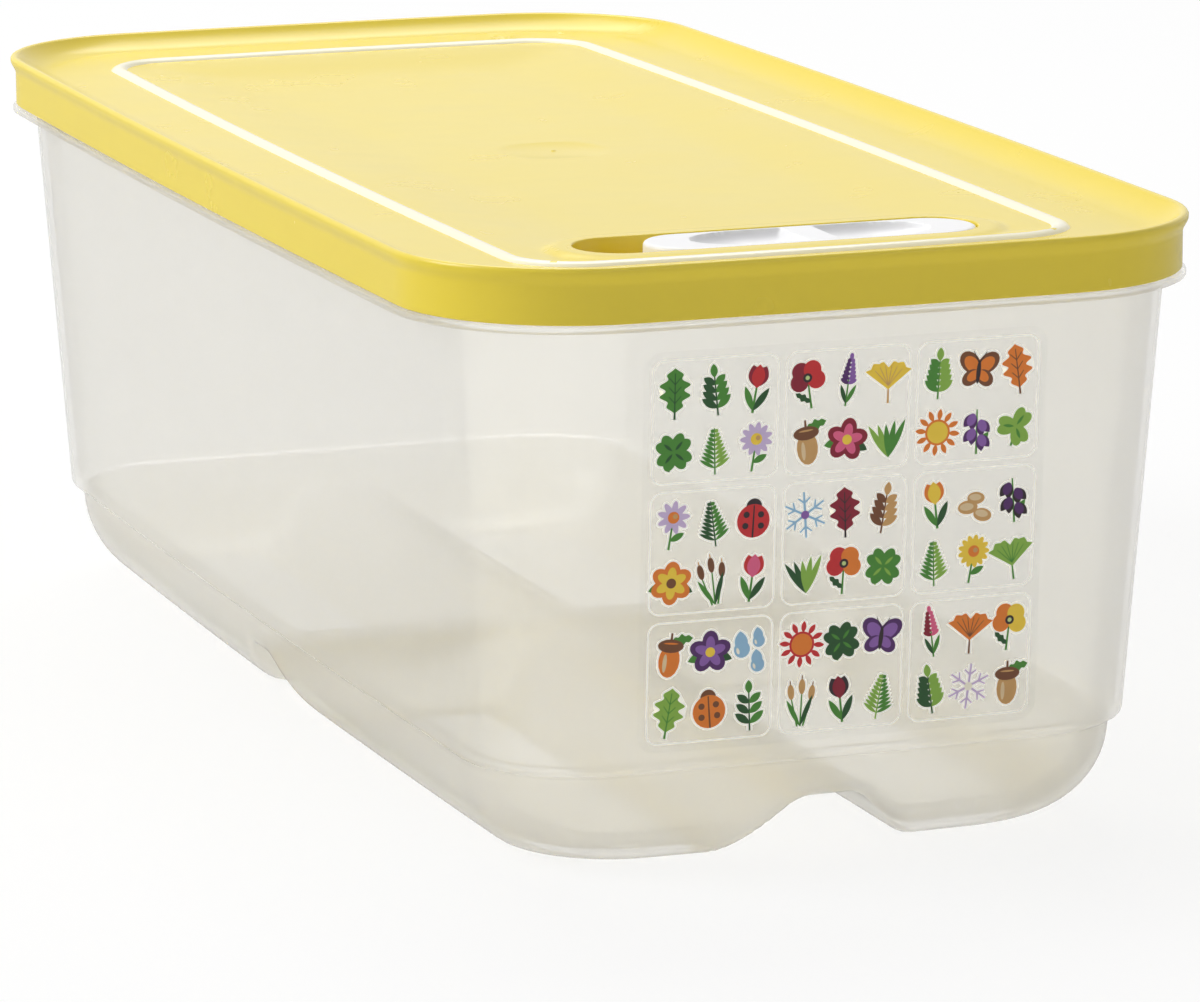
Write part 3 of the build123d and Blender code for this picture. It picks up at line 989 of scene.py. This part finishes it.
# %% The chart's layout
CELLS = [
    [oak_leaf("green", "deep_green"), sprig("green", "deep_green"), tulip("red", "deep_red"),
     clover("green", "deep_green"), fern("leaf_green", "green"), daisy("pale_violet", "yellow")],
    [poppy("red", "deep_red"), lavender("violet", "purple"), ginkgo("yellow", "tan"),
     acorn("tan", "brown"), bloom("pink", "deep_red", "yellow"), grass("green", "leaf_green")],
    [sprig("leaf_green", "green", 5), butterfly("orange", "brown"), oak_leaf("orange", "brown"),
     sun("yellow", "orange"), bellflower("violet", "purple"), clover("leaf_green", "green", 3)],
    [daisy("pale_violet", "orange", 9), fern("green", "deep_green"), ladybird("red", "ink_black"),
     bloom("yellow", "orange", "brown", 6), cattail("brown", "tan"), tulip("pink", "red")],
    [snowflake("pale_blue", "violet"), oak_leaf("deep_red", "ink_black"), sprig("tan", "brown"),
     grass("leaf_green", "deep_green"), poppy("orange", "red"), clover("green", "leaf_green")],
    [tulip("yellow", "orange"), pebbles("pale_tan", "tan"), bellflower("purple", "ink_black"),
     fern("leaf_green", "green"), daisy("yellow", "orange", 13), ginkgo("leaf_green", "green")],
    [acorn("orange", "brown"), bloom("violet", "purple", "yellow"), drops("pale_blue", "cream"),
     oak_leaf("leaf_green", "green"), ladybird("orange", "brown"), sprig("green", "deep_green", 3)],
    [sun("orange", "red"), clover("deep_green", "green"), butterfly("violet", "purple"),
     cattail("tan", "brown"), tulip("deep_red", "ink_black"), fern("green", "leaf_green")],
    [lavender("pink", "deep_red"), ginkgo("orange", "brown"), poppy("yellow", "orange"),
     sprig("leaf_green", "deep_green", 5), snowflake("pale_violet", "cream"), acorn("tan", "brown")],
]
INKS = {
    "outline": (254, 252, 242), "green": (74, 140, 50), "deep_green": (36, 84, 40),
    "leaf_green": (138, 182, 72), "pale_green": (196, 214, 140), "red": (204, 42, 46),
    "deep_red": (140, 24, 48), "orange": (232, 128, 42), "yellow": (244, 208, 66),
    "pink": (226, 98, 138), "purple": (84, 42, 104), "violet": (140, 96, 172),
    "pale_violet": (206, 186, 222), "pale_blue": (150, 192, 222), "cream": (248, 244, 226),
    "tan": (206, 160, 100), "pale_tan": (226, 200, 158), "brown": (120, 74, 44),
    "ink_black": (48, 36, 40),
}
COLUMNS = 3
PRINT_MARGIN = 1.7 * MM
CELL_GAP = 1.4 * MM
CELL_LINE = 0.42 * MM
CELL_CORNER = 2.6 * MM
EDGE_WIDTH = 0.36
OUTLINE_PROUD = 0.05 * MM
INK_PROUD = 0.12 * MM
LAYER_STEP = 0.003 * MM
INK_THICKNESS = 0.04 * MM
PICTURE_SCALE = 1.32 * MM
PICTURE_X = (0.18, 0.32)
PICTURE_Z = (0.27, 0.47)
PICTURE_SWAY = 9
BARE = 2 * PRINT_MARGIN + (COLUMNS - 1) * CELL_GAP
CELL_WIDTH = (2 * CHART_HALF_WIDTH - BARE) / COLUMNS
CELL_HEIGHT = (CHART_TOP_Z - CHART_FOOT_Z - BARE) / COLUMNS


def cell_corner(column, row):
    """The upper left corner of a cell."""
    left = -CHART_HALF_WIDTH + PRINT_MARGIN + column * (CELL_WIDTH + CELL_GAP)
    return left, CHART_TOP_Z - PRINT_MARGIN - row * (CELL_HEIGHT + CELL_GAP)


def widened(shape, edge):
    """The outline of a shape, moved outwards."""
    made = []
    for n, point in enumerate(shape):
        along = shape[(n + 1) % len(shape)] - shape[n - 1]
        made.append(point - 1j * along / max(abs(along), 0.01) * edge)
    return made


def anticlockwise(shape):
    """The shape turned to run anticlockwise, so that its face looks out of the wall."""
    area = sum((a.conjugate() * b).imag for a, b in zip(shape, shape[1:] + shape[:1]))
    return shape if area > 0 else shape[::-1]


def chart_shapes():
    """All printed shapes as (ink, height over the wall, points in metres)."""
    made = []
    for number, pictures in enumerate(CELLS):
        left, top = cell_corner(number % COLUMNS, number // COLUMNS)
        for place, parts in enumerate(pictures):
            x = left + CELL_WIDTH * (PICTURE_X[0] + PICTURE_X[1] * (place % 3))
            z = top - CELL_HEIGHT * (PICTURE_Z[0] + PICTURE_Z[1] * (place // 3))
            lean = heading(PICTURE_SWAY * math.sin(2.3 * place + 1.7 * number))
            for order, (ink, shape) in enumerate(parts):
                shape = anticlockwise(shape)
                pair = (("outline", widened(shape, EDGE_WIDTH), OUTLINE_PROUD), (ink, shape, INK_PROUD))
                for colour, outer, height in pair:
                    proud = height + order * LAYER_STEP
                    spots = [complex(x, z) + point * lean * PICTURE_SCALE for point in outer]
                    made.append((colour, proud, spots))
    return made


shapes = chart_shapes()
print("chart shapes", len(shapes), "points", sum(len(points) for _, _, points in shapes))

# %% [markdown]
# The shapes become one printed layer. Each is a filled circle whose points are set down on its
# outline, all in edit mode, so that they share one mesh, and each keeps its ink by a number on
# its face. At the end the layer gets its thickness with one extrude, down into the film.

# %% The printed layer
def print_layer(name, shapes):
    """One mesh with every printed shape, sorted into a material slot for each ink."""
    inks = list(INKS)
    circle = bpy.ops.mesh.primitive_circle_add
    layer = added(circle, vertices=len(shapes[0][2]), fill_type="NGON")
    layer.name = name
    mode("EDIT")
    for number, (ink, proud, points) in enumerate(shapes):
        if number > 0:
            circle(vertices=len(points), fill_type="NGON")
        sheet = bmesh.from_edit_mesh(layer.data)
        sheet.verts.ensure_lookup_table()
        for vertex, point in zip(sheet.verts[-len(points):], points):
            vertex.co = wall_spot(point.real, point.imag, proud)
        sheet.verts[-1].link_faces[0].material_index = inks.index(ink)
    bmesh.update_edit_mesh(layer.data)
    thicken((0, INK_THICKNESS, 0))
    print(name, "faces", len(layer.data.polygons))
    return layer


def cell_frame(column, row):
    """The thin printed line round one cell."""
    left, top = cell_corner(column, row)
    rings = []
    for inset, proud in ((0, 0.01), (0, 0.06), (1, 0.06), (1, 0.01), (0, 0.01)):
        edge = inset * CELL_LINE
        ring = round_box(left + edge, top - CELL_HEIGHT + edge, left + CELL_WIDTH - edge,
                         top - edge, CELL_CORNER - edge, 8)
        rings.append([wall_spot(x, z, proud * MM) for x, z in ring])
    return pull_shell("cell_frame", rings)


pictures = print_layer("chart_pictures", shapes)
frames = [cell_frame(column, row) for row in range(COLUMNS) for column in range(COLUMNS)]
cell_lines = join(frames)
cell_lines.name = "chart_cell_lines"
for piece in (tub, lid, slider, film, pictures, cell_lines):
    print(piece.name, "open edges", open_edges(piece))

# %% [markdown]
# The finishes are made with nodes. To keep shader sums readable, a small class wraps a socket and
# lets plain Python signs add the Math nodes, and one method makes any other node.

# %% A shader workbench
class Value:
    """A number that changes over a surface."""

    def __init__(self, bench, socket):
        self.bench = bench
        self.socket = socket

    def sum(self, operation, first, second):
        made = self.bench.node("ShaderNodeMath", {"operation": operation}, {0: first, 1: second})
        return Value(self.bench, made.outputs[0])

    def __add__(self, other):
        return self.sum("ADD", self, other)

    def __rsub__(self, other):
        return self.sum("SUBTRACT", other, self)

    def at_most(self, other):
        return self.sum("MINIMUM", self, other)

    def at_least(self, other):
        return self.sum("MAXIMUM", self, other)

    def __mul__(self, other):
        return self.sum("MULTIPLY", self, other)

    __radd__ = __add__
    __rmul__ = __mul__


class Bench:
    """A node tree, of a material or of the world, with its main shader."""

    def __init__(self, owner):
        owner.use_nodes = True
        self.owner = owner
        self.tree = owner.node_tree
        self.shader = self.tree.nodes.get("Principled BSDF")

    def place(self):
        """Where a point of the surface is, in the object's own space."""
        return self.node("ShaderNodeTexCoord").outputs["Object"]

    def height(self):
        """Height of a point of the surface, in metres."""
        split = self.node("ShaderNodeSeparateXYZ", None, {0: self.place()})
        return Value(self, split.outputs[2])

    def ray(self, kind):
        """1 for the rays of one kind, and 0 for others."""
        return Value(self, self.node("ShaderNodeLightPath").outputs["Is " + kind + " Ray"])

    def rays_that_see(self):
        """1 for rays that show the surroundings: from the camera, a gloss or a clear part."""
        return (self.ray("Camera") + self.ray("Glossy") + self.ray("Transmission")).at_most(1.0)

    def node(self, kind, settings=None, sockets=None):
        """Makes a node: its settings first, then the values or links of its sockets."""
        made = self.tree.nodes.new(kind)
        for key, value in (settings or {}).items():
            setattr(made, key, value)
        for key, value in (sockets or {}).items():
            self.feed(made.inputs[key], value)
        return made

    def feed(self, socket, value):
        """Sets a socket, or links it when the value is itself a socket."""
        if isinstance(value, Value):
            value = value.socket
        if isinstance(value, bpy.types.NodeSocket):
            self.tree.links.new(value, socket)
        else:
            socket.default_value = value

    def noise(self, scale, detail):
        """Cloudy noise in the object's own space, from 0 to 1."""
        sockets = {"Vector": self.place(), "Scale": scale, "Detail": detail}
        return Value(self, self.node("ShaderNodeTexNoise", None, sockets).outputs[0])

    def mix(self, factor, first, second):
        """A blend of two colours."""
        sockets = {0: factor, 6: first, 7: second}
        return self.node("ShaderNodeMix", {"data_type": "RGBA"}, sockets).outputs[2]

    def blend(self, factor, first, second):
        """A blend of two shaders."""
        sockets = {0: factor, 1: first.outputs[0], 2: second.outputs[0]}
        return self.node("ShaderNodeMixShader", None, sockets)

    def bump(self, height, distance, strength):
        """Puts a fine relief on the main shader."""
        sockets = {"Height": height, "Distance": distance, "Strength": strength}
        relief = self.node("ShaderNodeBump", None, sockets)
        self.feed(self.shader.inputs["Normal"], relief.outputs[0])

    def set(self, **sockets):
        """Sets sockets of the main shader by name, with _ for a space."""
        for key, value in sockets.items():
            self.feed(self.shader.inputs[key.replace("_", " ")], value)


def paint(red, green, blue):
    """A screen colour from 0 to 255 as the linear colour that shaders use."""
    linear = []
    for part in (red, green, blue):
        share = part / 255
        linear.append(share / 12.92 if share <= 0.04045 else ((share + 0.055) / 1.055) ** 2.4)
    return (*linear, 1.0)


# %% [markdown]
# The lid is soft polyethylene: a sunny yellow with a satin gloss. The stacking bead is the same plastic
# with a lower roughness, and its paler cream colour is a painted highlight, the gleam that the bead
# shows all round.

# %% The yellow lid finish
def make_plastic(name, light, deep, drift, rough, grain, **more):
    """A plastic whose colour drifts and whose gloss is uneven, by noise (scale, detail)."""
    bench = Bench(bpy.data.materials.new(name))
    bench.set(Base_Color=bench.mix(bench.noise(*drift), paint(*light), paint(*deep)))
    bench.set(Roughness=rough[0] + rough[1] * bench.noise(*grain), **more)
    return bench


def make_yellow(name, light, deep, rough):
    return make_plastic(name, light, deep, (14.0, 3.0), (rough, 0.08), (60.0, 4.0), IOR=1.5).owner


yellow = make_yellow("yellow_polyethylene", (241, 217, 64), (237, 212, 56), 0.22)
# The bead's pale cream colour is a painted highlight; only its lower roughness is the plastic's own
# gloss.
bead_highlight = make_yellow("yellow_bead_painted_highlight", (255, 250, 226), (253, 247, 216), 0.12)

# %% [markdown]
# The tub is milky polypropylene. Part of the light goes straight through a wall, part is blurred
# on the way, and part is thrown back by the haze inside it. So the finish is partly see-through,
# and what is left of it is a rough transmission mixed with a white body colour. The base under
# the ledge is hazier than the walls.

# %% The milky clear finish
WALL_HAZE = 0.36
BASE_HAZE = 0.22
BASE_FADE = 1.5 * MM
HAZE_TOP_Z = LEDGE_Z + 0.6 * MM
WALL_CLEARNESS = 0.78
FILM_HAZE = 0.04


def make_milky():
    coat = {"Coat_Weight": 0.6, "Coat_Roughness": 0.15, "Coat_IOR": 1.5}
    bench = make_plastic("milky_polypropylene", (248, 245, 235), (250, 248, 240), (9.0, 2.0),
                         (0.34, 0.08), (40.0, 3.0), IOR=1.22, **coat)
    base = ((HAZE_TOP_Z - bench.height()) * (1 / BASE_FADE)).at_most(1.0).at_least(0.0)
    bench.set(Transmission_Weight=WALL_CLEARNESS, Alpha=WALL_HAZE + BASE_HAZE * base)
    return bench.owner


def make_white():
    bench = make_plastic("white_slider_plastic", (250, 250, 251), (244, 244, 246), (30.0, 3.0),
                         (0.28, 0.08), (120.0, 3.0), IOR=1.5)
    bench.bump(bench.noise(2200.0, 2.0), 0.015 * MM, 0.3)
    return bench.owner


# The inks glow a little: painted light for the light that shines through the milky wall behind the
# print. The off-white outline glows most.
INK_PAINTED_GLOW = (0.05, 0.2)


def make_ink(name, colour):
    bench = Bench(bpy.data.materials.new("ink_" + name))
    bench.set(Base_Color=paint(*colour), Roughness=0.35, IOR=1.5)
    # The emission is painted light, a glow for the light coming through the wall behind the print.
    bench.set(Emission_Color=paint(*colour), Emission_Strength=INK_PAINTED_GLOW[name == "outline"])
    return bench.owner


milky = make_milky()
film_finish = make_plastic("clear_chart_film", (246, 244, 236), (250, 249, 244), (30.0, 2.0),
                           (0.14, 0.06), (50.0, 2.0), IOR=1.5, Alpha=FILM_HAZE).owner
white = make_white()
inks = [make_ink(name, colour) for name, colour in INKS.items()]

# %% [markdown]
# A plain table, soft studio lamps and the camera finish the set. The floor is white and keeps a
# soft shadow. To the camera, and to rays that come through the clear tub, it shows brighter than
# the lamps alone would make it, and a gloss mirrors it a little darker.

# %% Floor, lamps and camera
FLOOR_GLOW = 0.84
FLOOR_DIM = 0.4
SKY_LIGHT = 0.30
WHITE = (1.0, 1.0, 1.0, 1.0)
BLACK = (0.0, 0.0, 0.0, 1.0)
LAMP_AIM = Vector((0.0, 0.0, 0.06))
CAMERA_PLACE = (-0.4982, -1.4028, 0.3562)
CAMERA_TURNS = (("Z", -19.95), ("X", 90 - 11.89), ("Z", -0.25))
PHOTO_WIDTH = 1200
FOCAL_PIXELS = 6562.3
SENSOR = 36.0


def make_floor():
    floor = added(bpy.ops.mesh.primitive_plane_add, size=12.0)
    floor.name = "studio_floor"
    bench = Bench(bpy.data.materials.new("studio_paper"))
    bench.set(Base_Color=paint(250, 250, 250), Roughness=0.9)
    glow = bench.node("ShaderNodeEmission", None, {"Color": WHITE})
    bright = bench.blend(bench.rays_that_see() * FLOOR_GLOW, bench.shader, glow)
    dark = bench.node("ShaderNodeBsdfDiffuse", None, {"Color": BLACK})
    gloss = bench.ray("Glossy") * (1.0 - bench.ray("Transmission"))
    both = bench.blend(gloss * FLOOR_DIM, bright, dark)
    bench.feed(bench.tree.nodes["Material Output"].inputs["Surface"], both.outputs[0])
    floor.data.materials.append(bench.owner)


def make_world():
    world = bpy.data.worlds.new("studio")
    bpy.context.scene.world = world
    bench = Bench(world)
    back = bench.tree.nodes["Background"]
    back.inputs["Color"].default_value = WHITE
    bench.feed(back.inputs["Strength"], SKY_LIGHT + (1 - SKY_LIGHT) * bench.rays_that_see())


def make_lamp(name, place, size, power):
    """A square soft box that shines at the middle of the keeper."""
    lamp = added(bpy.ops.object.light_add, type="AREA", location=place)
    lamp.name = name
    lamp.data.size = size
    lamp.data.energy = power
    aim = LAMP_AIM - Vector(place)
    lamp.rotation_euler = aim.to_track_quat("-Z", "Y").to_euler()


def make_camera():
    """The photograph's viewpoint, found by fitting a camera to its outlines."""
    camera = added(bpy.ops.object.camera_add, location=CAMERA_PLACE)
    turn, tilt, roll = [Matrix.Rotation(math.radians(by), 3, axis) for axis, by in CAMERA_TURNS]
    camera.rotation_euler = (turn @ tilt @ roll).to_euler()
    camera.data.sensor_width = SENSOR
    camera.data.lens = FOCAL_PIXELS * SENSOR / PHOTO_WIDTH
    camera.data.clip_end = 50.0
    bpy.context.scene.camera = camera


make_floor()
make_world()
make_lamp("key_lamp", (-1.9, 0.5, 1.5), 1.2, 33.0)
make_lamp("top_lamp", (0.2, 1.2, 1.9), 1.4, 22.5)
make_lamp("front_lamp", (0.5, -2.0, 1.0), 1.4, 2.6)
make_camera()
bpy.context.scene.view_settings.view_transform = "Standard"

# %% [markdown]
# Last, each piece gets its finish, rides on the body it belongs to, and takes the place of its
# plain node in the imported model.

# %% Joining the frame
INSIDE_COVE = (70.0 * MM, 165.0 * MM)
VENT_REACH = (56.0 * MM, 17.6 * MM)


def is_bead(centre):
    """Whether a face of the lid belongs to the bead, not to the cove or the vent."""
    near = abs(centre.x) < INSIDE_COVE[0] and abs(centre.y) < INSIDE_COVE[1]
    vent = abs(centre.x) < VENT_REACH[0] and abs(centre.y - VENT_Y) < VENT_REACH[1]
    return near and not vent and BORDER_Z + 0.02 * MM < centre.z < CREST_Z - 1.5 * MM


for piece, finishes, body, node, slot in (
    (tub, [milky], "tub", "tub", "clear_tub"),
    (lid, [yellow, bead_highlight], "lid", "lid", "yellow_lid"),
    (slider, [white], "slider", "vent_slider", "white_slider"),
    (film, [film_finish], "tub", "chart_film", "printed_film"),
    (cell_lines, [inks[0]], "tub", "chart_film", "printed_film"),
    (pictures, inks, "tub", "chart_film", "printed_film"),
):
    for finish in finishes:
        piece.data.materials.append(finish)
    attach(piece, body)
    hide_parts(node)
# The bead's faces take the finish with the painted highlight.
for face in lid.data.polygons:
    face.material_index = 1 if is_bead(face.center) else 0
